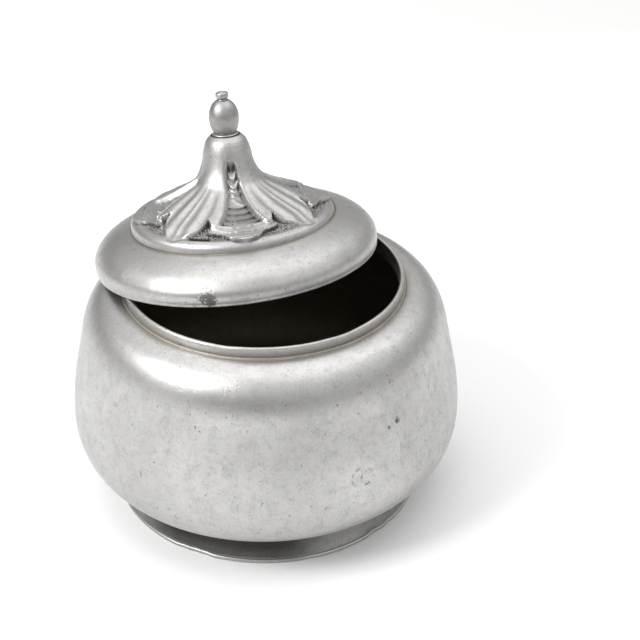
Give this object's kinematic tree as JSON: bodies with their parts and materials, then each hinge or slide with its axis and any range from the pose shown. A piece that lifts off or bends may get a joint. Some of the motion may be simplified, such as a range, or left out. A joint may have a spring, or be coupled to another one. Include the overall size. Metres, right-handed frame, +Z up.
{
  "type": "lidded sugar bowl",
  "caption": "Squat round sugar bowl on a foot ring, with a collared mouth and a loose domed cap lid that leans on the collar and carries a cast leaf boss and bead finial.",
  "frame": {"origin": "on the table, under the middle of the foot ring", "axes": "+Z up along the bowl's axis, -Y towards the viewer's front; the lid has slid and dropped towards -X +Y (119 degrees from +X)"},
  "size_m": [0.1236, 0.1236, 0.1257],
  "materials": {
    "spun_pewter": "worn satin, fine scratches and small dark pits",
    "cast_pewter": "worn satin casting, dark patina in the recesses"
  },
  "bodies": {
    "bowl": {"bowl_shell": "spun_pewter", "mouth_collar": "spun_pewter", "foot_ring": "spun_pewter"},
    "lid": {"lid_shell": "spun_pewter", "relief_boss": "cast_pewter", "finial_bead": "cast_pewter", "finial_pin": "cast_pewter"}
  },
  "joints": [
    {"name": "lid_lift", "type": "slide", "parent": "bowl", "child": "lid", "axis": [0, 0, 1], "range_m": [0, 0.1]}
  ]
}
